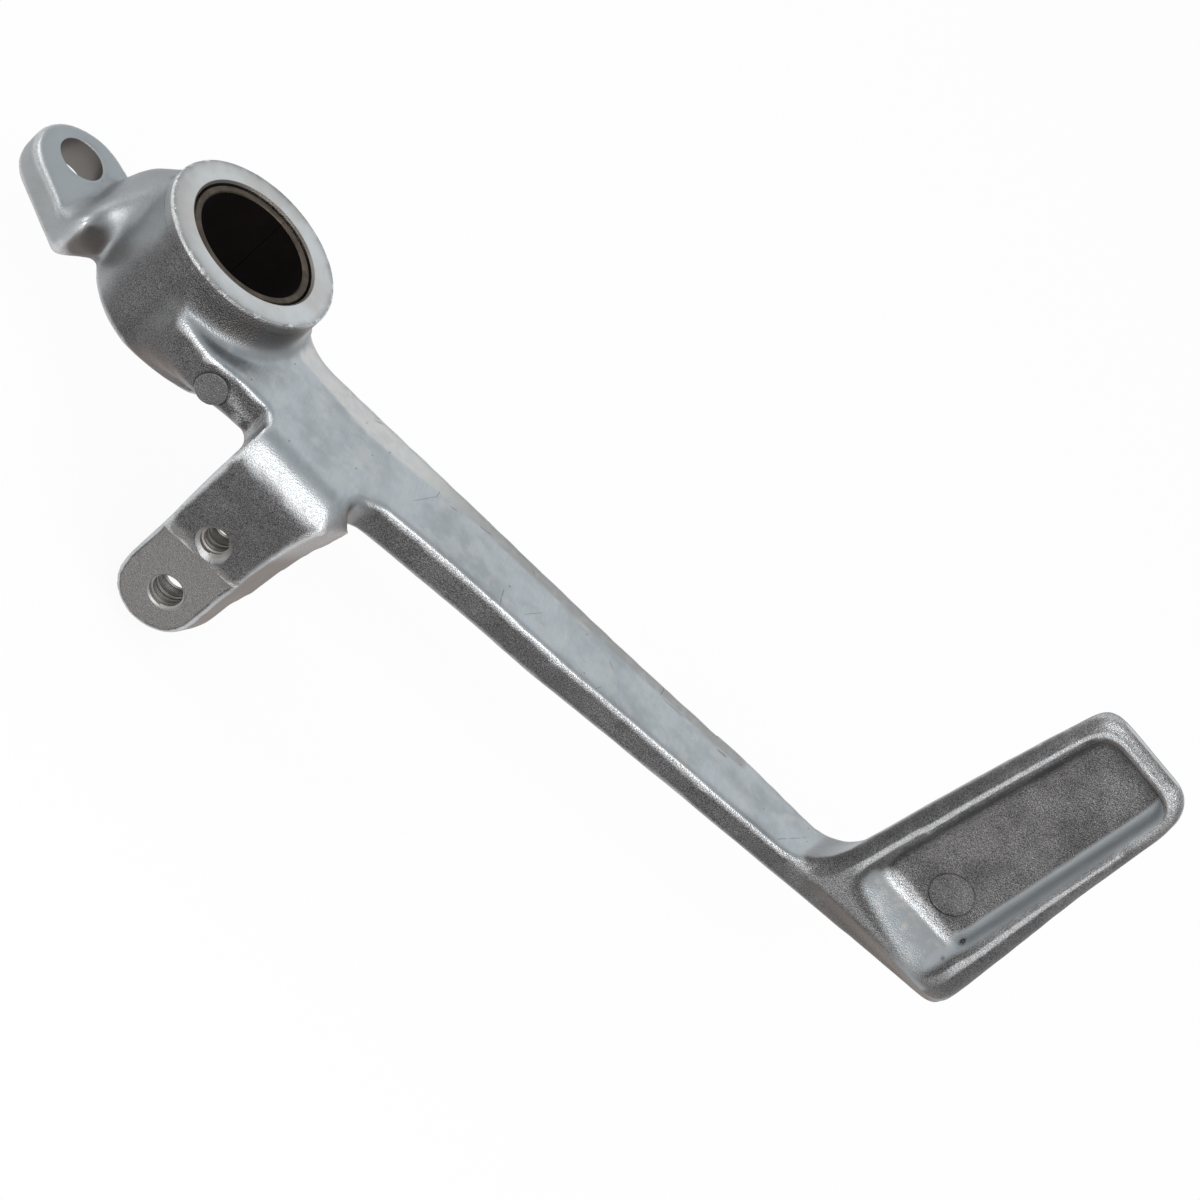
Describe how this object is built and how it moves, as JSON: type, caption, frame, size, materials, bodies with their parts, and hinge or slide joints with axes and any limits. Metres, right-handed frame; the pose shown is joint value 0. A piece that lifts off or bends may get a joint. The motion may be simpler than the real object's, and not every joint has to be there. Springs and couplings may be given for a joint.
{
  "type": "motorcycle rear brake pedal",
  "caption": "Cast aluminium rear brake pedal: bushed pivot boss, slim arm to a hollow toe tray, cable lug and a bent-down switch bracket.",
  "frame": {"origin": "on the pivot axis, in the inboard face of the boss", "axes": "+Z along the pivot axis towards the outboard side, +X from the pivot to the toe tray, -Y towards the foot face of the tray"},
  "size_m": [0.2046, 0.0504, 0.1068],
  "materials": {
    "cast_aluminium": "as-cast with brushed faces, worn",
    "bush_bronze": "dull, oil-darkened"
  },
  "bodies": {
    "root": {"pedal_casting": "cast_aluminium", "pivot_bush": "bush_bronze"}
  },
  "joints": []
}
